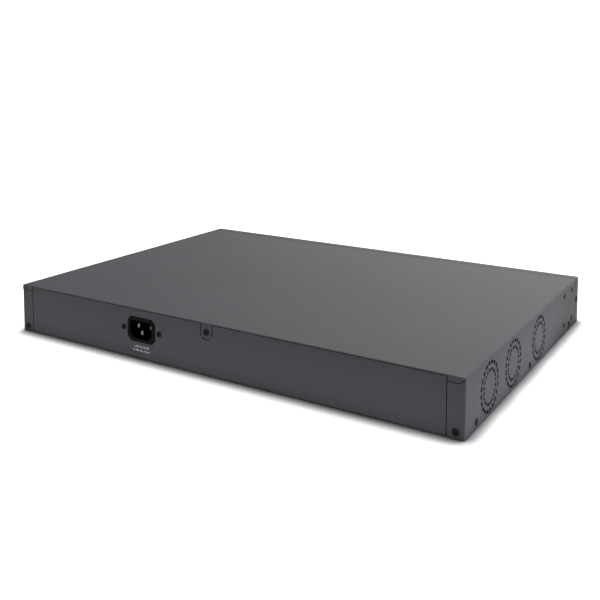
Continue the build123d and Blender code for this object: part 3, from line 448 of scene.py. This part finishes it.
def add_tube(shape, points, radius, closed=False, sides=8):
    """A round tube along points, with its section kept square to the run."""
    rings = []
    last = len(points) - 1
    for i, point in enumerate(points):
        before = points[i - 1] if i or closed else point
        after = points[(i + 1) % len(points)] if i < last or closed else point
        along = (Vector(after) - Vector(before)).normalized()
        turn = along.to_track_quat("Z", "Y").to_matrix()
        rings.append([
            Vector(point) + turn @ Vector((radius * math.cos(a), radius * math.sin(a), 0.0))
            for a in (2 * math.pi * k / sides for k in range(sides))
        ])
    add_rings(shape, rings, closed)


INK = screen_ink("print_ink", (0.30, 0.30, 0.31))
FRONT_INK = screen_ink("panel_ink", (0.62, 0.62, 0.63))


# Two rows of plain marks under the mains inlet, as (height, half of the run, widths) in mm.
INLET_LOW, INLET_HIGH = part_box("inlet_body")
PRINT_X = (INLET_LOW.x + INLET_HIGH.x) / 2
PRINT_ROWS = (
    (10.7, 7.9, (1.2, 0.5, 1.0, 0.4, 1.3, 0.8, 0.4, 1.1, 0.6, 1.2)),
    (7.3, 8.9, (0.5, 1.3, 0.8, 0.4, 1.2, 1.0, 0.4, 0.7, 1.4, 0.5, 0.9)),
)
PRINT_HEIGHTS = (1.7, 0.9, 1.4, 1.7, 0.6)
PRINT_DROP = 0.75
PRINT_CORNER = 0.15 * MM


def inlet_marks(shape):
    for z, half_run, widths in PRINT_ROWS:
        gap = (2 * half_run - sum(widths)) / (len(widths) - 1)
        x = PRINT_X - half_run * MM
        for place, width in enumerate(widths):
            x += width / 2 * MM
            height = PRINT_HEIGHTS[place % len(PRINT_HEIGHTS)]
            centre = (x, (z - PRINT_DROP + height / 2) * MM)
            outline = rounded(centre, (width * MM, height * MM), PRINT_CORNER)
            add_prism(shape, outline, INK_ROOT, INK_T, on_rear)
            x += (width / 2 + gap) * MM


new_piece("inlet_marks", inlet_marks, INK)


# Port numbers, group lines and button rings on the front panel.
PORT_PITCH = 13.97 * MM
PORTS_IN_ROW = 6
CAGE_COUNT = 4
CAGE_W = 14.6 * MM
NUMBER_SIZE = 3.0 * MM
ODD_NUMBERS_Z = 37.6 * MM
EVEN_NUMBERS_Z = 5.2 * MM
CAGE_NUMBERS_Z = 22.0 * MM
LINE_W = 0.35 * MM
LINE_REACH = 5.5 * MM
PORT_LINES = ((40.4 * MM, -1.6 * MM), (2.4 * MM, 1.2 * MM))
CAGE_LINE_Z = 24.8 * MM
CAGE_TICK = -1.4 * MM
BUTTON_RINGS = (("mode_button", 3.4 * MM), ("reset_button", 2.4 * MM))
port_centres = []
for half in ("left", "right"):
    low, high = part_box(f"port_block_{half}")
    middle = (low.x + high.x) / 2
    port_centres += [middle + (i - (PORTS_IN_ROW - 1) / 2) * PORT_PITCH for i in range(PORTS_IN_ROW)]
cage_low, cage_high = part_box("sfp_cages")
cage_step = (cage_high.x - cage_low.x - CAGE_W) / (CAGE_COUNT - 1)
cage_centres = [cage_low.x + CAGE_W / 2 + i * cage_step for i in range(CAGE_COUNT)]


def add_number(shape, number, centre):
    """A number facing the front, taken from Blender's built-in letters as a thin solid."""
    letters = bpy.data.curves.new("number", "FONT")
    letters.body = str(number)
    letters.size = NUMBER_SIZE
    letters.align_x = "CENTER"
    letters.align_y = "CENTER"
    letters.resolution_u = 3
    letters.extrude = INK_T / 2
    holder = bpy.data.objects.new("number", letters)
    mesh = bpy.data.meshes.new_from_object(holder)
    turn = Matrix(((1, 0, 0), (0, 0, -1), (0, 1, 0))).to_4x4()
    mesh.transform(Matrix.Translation((centre[0], FRONT - INK_T / 2, centre[1])) @ turn)
    shape.from_mesh(mesh)
    bpy.data.objects.remove(holder)
    bpy.data.curves.remove(letters)
    bpy.data.meshes.remove(mesh)


def front_numbers(shape):
    for i, x in enumerate(port_centres):
        add_number(shape, 2 * i + 1, (x, ODD_NUMBERS_Z))
        add_number(shape, 2 * i + 2, (x, EVEN_NUMBERS_Z))
    for i, x in enumerate(cage_centres):
        add_number(shape, 2 * len(port_centres) + 1 + i, (x, CAGE_NUMBERS_Z))
    bmesh.ops.remove_doubles(shape, verts=shape.verts, dist=1e-7)


def add_line(shape, start, end):
    """A thin printed line, level or upright, on the front panel."""
    low = (min(start[0], end[0]) - LINE_W / 2, min(start[1], end[1]) - LINE_W / 2)
    high = (max(start[0], end[0]) + LINE_W / 2, max(start[1], end[1]) + LINE_W / 2)
    outline = [low, (high[0], low[1]), high, (low[0], high[1])]
    add_prism(shape, outline, INK_ROOT, INK_T, on_front)


def add_bracket(shape, left, right, z, tick):
    """A level line with a short tick at each end."""
    add_line(shape, (left, z), (right, z))
    for x in (left, right):
        add_line(shape, (x, z), (x, z + tick))


def front_lines(shape):
    for first in (0, PORTS_IN_ROW):
        left = port_centres[first] - LINE_REACH
        right = port_centres[first + PORTS_IN_ROW - 1] + LINE_REACH
        for z, tick in PORT_LINES:
            add_bracket(shape, left, right, z, tick)
    add_bracket(shape, cage_centres[0] - LINE_REACH, cage_centres[-1] + LINE_REACH, CAGE_LINE_Z, CAGE_TICK)
    led_low, led_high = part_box("status_leds")
    middle = ((led_low.x + led_high.x) / 2, (led_low.z + led_high.z) / 2)
    size = (led_high.x - led_low.x + 5.0 * MM, led_high.z - led_low.z + 4.4 * MM)
    inside = (size[0] - 2 * LINE_W, size[1] - 2 * LINE_W)
    outline, inner = rounded(middle, size, 1.6 * MM), rounded(middle, inside, 1.3 * MM)
    add_band(shape, outline, inner, INK_ROOT, INK_T, on_front)
    for node, ring in BUTTON_RINGS:
        low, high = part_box(node)
        centre = ((low.x + high.x) / 2, (low.z + high.z) / 2)
        outer, inner = circle(centre, ring, 40), circle(centre, ring - LINE_W, 40)
        add_band(shape, outer, inner, INK_ROOT, INK_T, on_front)


new_piece("front_numbers", front_numbers, FRONT_INK)
new_piece("front_lines", front_lines, FRONT_INK)


def solids(node):
    """The box of each separate solid in a CAD node, as (low, high)."""
    shape = bmesh.new()
    shape.from_mesh(frame["nodes"][node].data)
    bmesh.ops.remove_doubles(shape, verts=shape.verts, dist=1e-6)
    left, boxes = set(shape.verts), []
    while left:
        reached, places = [left.pop()], []
        while reached:
            vert = reached.pop()
            places.append(vert.co.copy())
            for edge in vert.link_edges:
                other = edge.other_vert(vert)
                if other in left:
                    left.remove(other)
                    reached.append(other)
        corners = [tuple(pick(place[axis] for place in places) for axis in range(3)) for pick in (min, max)]
        boxes.append((Vector(corners[0]), Vector(corners[1])))
    shape.free()
    return boxes


# Spring fingers round the mouth of each module cage.
FINGER_W = 1.3 * MM
FINGER_T = 0.07 * MM
FINGER_PATH = ((0.5, 0.04), (1.0, 0.18), (2.0, 0.16), (4.5, 0.04))


def add_finger(shape, middle, across, outward):
    """One bowed strip lying along Y on the outside of a cage."""
    rings = []
    for depth, lift in FINGER_PATH:
        back = Vector((0, (depth - 0.6) * MM, 0))
        rings.append([
            middle + back + across * side * FINGER_W / 2 + outward * (lift * MM - top * FINGER_T)
            for side, top in ((-1, 0), (1, 0), (1, 1), (-1, 1))
        ])
    add_rings(shape, rings)


def cage_fingers(shape):
    for low, high in solids("sfp_cages"):
        middle = (low + high) / 2
        for i in range(6):
            x = low.x + (1.9 + 2.16 * i) * MM
            add_finger(shape, Vector((x, low.y, high.z)), Vector((1, 0, 0)), Vector((0, 0, 1)))
            add_finger(shape, Vector((x, low.y, low.z)), Vector((1, 0, 0)), Vector((0, 0, -1)))
        for i in range(4):
            z = low.z + (1.6 + 2.2 * i) * MM
            add_finger(shape, Vector((low.x, low.y, z)), Vector((0, 0, 1)), Vector((-1, 0, 0)))
            add_finger(shape, Vector((high.x, low.y, z)), Vector((0, 0, 1)), Vector((1, 0, 0)))


new_piece("cage_fingers", cage_fingers, SLOT_MATERIALS["shield_metal"])


# Bent legs round the chips, from the middle of each side down to the board.
LEG_PATH = ((0.0, 0.85), (0.45, 0.85), (0.75, 0.06), (1.35, 0.06))


def add_legs(shape, low, high, pitch):
    middle, half = (low + high) / 2, (high - low) / 2
    for out, across, reach, run in (
        (Vector((1, 0, 0)), Vector((0, 1, 0)), half.x, half.y),
        (Vector((0, 1, 0)), Vector((1, 0, 0)), half.y, half.x),
    ):
        count = int((2 * run - 1.2 * MM) / pitch) + 1
        for sign in (-1, 1):
            for i in range(count):
                shift = across * (i - (count - 1) / 2) * pitch
                rings = []
                for away, height in LEG_PATH:
                    spine = middle + shift + out * sign * (reach + away * MM)
                    spine.z = low.z + height * min(1.0, (high.z - low.z) / (1.7 * MM)) * MM
                    rings.append([
                        spine + across * side * pitch * 0.22 + Vector((0, 0, top * 0.08 * MM))
                        for side, top in ((-1, -1), (1, -1), (1, 1), (-1, 1))
                    ])
                add_rings(shape, rings)


def chip_legs(shape):
    for low, high in solids("port_phy_chips"):
        add_legs(shape, low, high, 0.8 * MM)
    for node, least in (("poe_controllers", 9.0 * MM), ("memory_chips", 8.0 * MM)):
        for low, high in solids(node):
            if high.x - low.x > least:
                add_legs(shape, low, high, 1.0 * MM)


new_piece("chip_legs", chip_legs, SLOT_MATERIALS["zinc_steel"])


# Bare tops on the capacitors, with a pressed cross drawn as thin dark strips: painted shade for its
# grooves.
def capacitor_boxes():
    for node in ("board_capacitors", "bulk_capacitors", "output_capacitors"):
        for low, high in solids(node):
            middle = (low + high) / 2
            yield (middle.x, middle.y), (high.x - low.x) / 2, high.z


def capacitor_tops(shape):
    for centre, radius, top in capacitor_boxes():
        profile = ((0.90, 0.0), (0.90, 0.10), (0.84, 0.22), (0.76, 0.14), (0.05, 0.14))
        add_lathe(shape, centre, [(r * radius, top + h * MM) for r, h in profile], upright)


# Painted shade: thin dark strips laid on each top where the pressed cross's grooves are shaded.
def capacitor_vents(shape):
    for centre, radius, top in capacitor_boxes():
        for turn in (0.0, 60.0, 120.0):
            angle = math.radians(turn)
            along = Vector((math.cos(angle), math.sin(angle)))
            across = Vector((-along.y, along.x))
            outline = [
                Vector(centre) + along * sx * radius * 0.6 + across * sy * radius * 0.035
                for sx, sy in ((-1, -1), (1, -1), (1, 1), (-1, 1))
            ]
            add_prism(shape, outline, top + 0.13 * MM, top + 0.16 * MM, upright)


new_piece("capacitor_tops", capacitor_tops, SLOT_MATERIALS["heat_sink"])
new_piece("capacitor_vents", capacitor_vents, SLOT_MATERIALS["ferrite"])


# Turns of wire round the choke's ring, and tape round the transformer's winding.
CHOKE_R = 12.5 * MM
CHOKE_BORE = 5.5 * MM
WIRE_R = 0.55 * MM
RING_T = 11 * MM
RING_BACK = 12.5 * MM
TURN_ARCS = ((-35, 75), (105, 215))
TURN_STEPS = 12
choke_low, choke_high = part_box("line_choke")


def choke_winding(shape):
    centre = Vector(((choke_low.x + choke_high.x) / 2, 0.0, choke_high.z - CHOKE_R))
    ring_back = choke_low.y + RING_BACK
    middle = ((CHOKE_R + CHOKE_BORE) / 2, (ring_back + ring_back - RING_T) / 2)
    size = (CHOKE_R - CHOKE_BORE + 2 * WIRE_R, RING_T + 2 * WIRE_R)
    for start, end in TURN_ARCS:
        for i in range(TURN_STEPS + 1):
            angle = math.radians(start + (end - start) * i / TURN_STEPS)
            out = Vector((math.cos(angle), 0, math.sin(angle)))
            loop = [centre + out * u + Vector((0, v, 0)) for u, v in rounded(middle, size, 1.0 * MM, 2)]
            add_tube(shape, loop, WIRE_R, closed=True, sides=6)


new_piece("choke_winding", choke_winding, SLOT_MATERIALS["copper_coil"], smooth=True)

TAPE = satin_film("winding_tape", (0.62, 0.44, 0.06))
transformer_low, transformer_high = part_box("mains_transformer")


def transformer_tape(shape):
    middle = (transformer_low + transformer_high) / 2
    coil = (26.0 * MM, 31.0 * MM)
    low, high = transformer_low.z + 6 * MM, transformer_high.z - 5.5 * MM
    for sign in (-1, 1):
        arc = [
            (u, v) for u, v in rounded((0, 0), coil, 8 * MM, 8)
            if v * sign > 5.6 * MM
        ]
        if sign < 0:
            arc.sort(key=lambda point: math.atan2(point[1], point[0]))
        ends = [(arc[0][0], sign * 5.7 * MM), (arc[-1][0], sign * 5.7 * MM)]
        run = [ends[0]] + arc + [ends[1]]
        rings = []
        for u, v in run:
            out = Vector((u, v)).normalized() * 0.25 * MM
            rings.append([
                Vector((middle.x + u + out.x * k, middle.y + v + out.y * k, z))
                for k, z in ((0, low), (1, low), (1, high), (0, high))
            ])
        add_rings(shape, rings)


new_piece("transformer_tape", transformer_tape, TAPE)


# ---- Stage, light and camera ------------------------------------------------------------------

FLOOR_HALF = 30.0
DOME_STRENGTH = 0.15
HORIZON_STRENGTH = 1.25
GLOW_STRENGTH = 4.0
GLOW_TOWARDS = (-0.20, -0.90, 0.46)
HORIZON_BAND = (0.11, 0.22)
GLOW_BAND = (0.60, 1.0)
CONTACT_SHADOW_REACH = 14 * MM
CONTACT_SHADOW_TONE = (0.13, 0.13, 0.13)
STRIP_THICKNESS = 0.008
STRIP_SPREAD = 12.0
WHITE = (1.0, 1.0, 1.0)


def make_stage():
    mesh = bpy.data.meshes.new("floor")
    corners = [(x * FLOOR_HALF, y * FLOOR_HALF, 0.0) for x, y in ((-1, -1), (1, -1), (1, 1), (-1, 1))]
    mesh.from_pydata(corners, [], [(0, 1, 2, 3)])
    floor = bpy.data.objects.new("floor", mesh)
    bpy.context.scene.collection.objects.link(floor)
    g = Graph("floor_white")
    tone = g.ramp(g.noise(0.8, 2.0), [(0.3, (0.89, 0.89, 0.89)), (0.7, (0.91, 0.91, 0.91))])
    # Painted contact shadow: the floor's colour darkens close to the object, found by occlusion.
    tone = g.mix(g.crevices(CONTACT_SHADOW_REACH, 0.45, 1.0), tone, CONTACT_SHADOW_TONE)
    g.finish(tone, Roughness=0.9, Specular_IOR_Level=0.1)
    mesh.materials.append(g.material)


def make_world():
    """A pale dome, white near the horizon so that the floor runs out into it, and brighter on one side."""
    world = bpy.data.worlds.new("studio")
    bpy.context.scene.world = world
    world.use_nodes = True
    nodes, links = world.node_tree.nodes, world.node_tree.links
    background = nodes["Background"]
    background.inputs["Color"].default_value = (*WHITE, 1.0)
    direction = nodes.new("ShaderNodeTexCoord").outputs["Generated"]

    def span(value, limits):
        made = nodes.new("ShaderNodeMapRange")
        links.new(value, made.inputs["Value"])
        for key, limit in zip(("From Min", "From Max", "To Min", "To Max"), limits):
            made.inputs[key].default_value = limit
        return made.outputs["Result"]

    split = nodes.new("ShaderNodeSeparateXYZ")
    links.new(direction, split.inputs[0])
    facing = nodes.new("ShaderNodeVectorMath")
    facing.operation = "DOT_PRODUCT"
    links.new(direction, facing.inputs[0])
    facing.inputs[1].default_value = Vector(GLOW_TOWARDS).normalized()
    total = nodes.new("ShaderNodeMath")
    links.new(span(split.outputs["Z"], (*HORIZON_BAND, HORIZON_STRENGTH, DOME_STRENGTH)), total.inputs[0])
    links.new(span(facing.outputs["Value"], (*GLOW_BAND, 0.0, GLOW_STRENGTH)), total.inputs[1])
    links.new(total.outputs["Value"], background.inputs["Strength"])


def overhead_light(direction, spread, strength):
    """A wide even light from above, coming from a direction, spread over an angle in degrees."""
    data = bpy.data.lights.new("overhead", "SUN")
    data.angle = math.radians(spread)
    data.energy = strength
    light = bpy.data.objects.new("overhead", data)
    light.location = direction
    light.rotation_euler = Vector(direction).to_track_quat("Z", "Y").to_euler()
    bpy.context.scene.collection.objects.link(light)


def low_strip(name, place, target, length, power, colour=WHITE):
    """A gridded strip just above the floor, which brightens the foot of one face and gives no glare."""
    data = bpy.data.lights.new(name, "AREA")
    data.shape = "RECTANGLE"
    data.size = length
    data.size_y = STRIP_THICKNESS
    data.spread = math.radians(STRIP_SPREAD)
    data.energy = power
    data.color = colour
    light = bpy.data.objects.new(name, data)
    light.location = place
    light.rotation_euler = (Vector(target) - Vector(place)).to_track_quat("-Z", "Y").to_euler()
    light.visible_glossy = False
    light.visible_camera = False
    bpy.context.scene.collection.objects.link(light)


CAMERA_PLACE = (-0.4100, 0.6671, 0.2564)
CAMERA_HEADING = 148.051
CAMERA_TILT = 5.048
CAMERA_LENS = 49.745
CAMERA_SHIFT = -0.28


def make_camera():
    data = bpy.data.cameras.new("camera")
    data.lens = CAMERA_LENS
    data.sensor_width = 36.0
    data.shift_y = CAMERA_SHIFT
    data.clip_start = 0.01
    data.clip_end = 100.0
    camera = bpy.data.objects.new("camera", data)
    heading, tilt = math.radians(CAMERA_HEADING), math.radians(CAMERA_TILT)
    level = math.cos(tilt)
    forward = Vector((math.sin(heading) * level, math.cos(heading) * level, -math.sin(tilt)))
    camera.location = CAMERA_PLACE
    camera.rotation_euler = forward.to_track_quat("-Z", "Y").to_euler()
    bpy.context.scene.collection.objects.link(camera)
    bpy.context.scene.camera = camera


bpy.context.scene.view_settings.view_transform = "Standard"
make_stage()
make_world()
make_camera()
overhead_light((0.13, -0.15, 1.0), 24.0, 3.4)
low_strip("side_strip", (-0.85, 0.05, 0.006), (-0.22, 0.05, 0.004), 0.26, 0.080, (0.84, 0.88, 1.0))
low_strip("rear_strip", (0.0, 0.78, 0.006), (0.0, 0.153, 0.004), 0.46, 0.082)
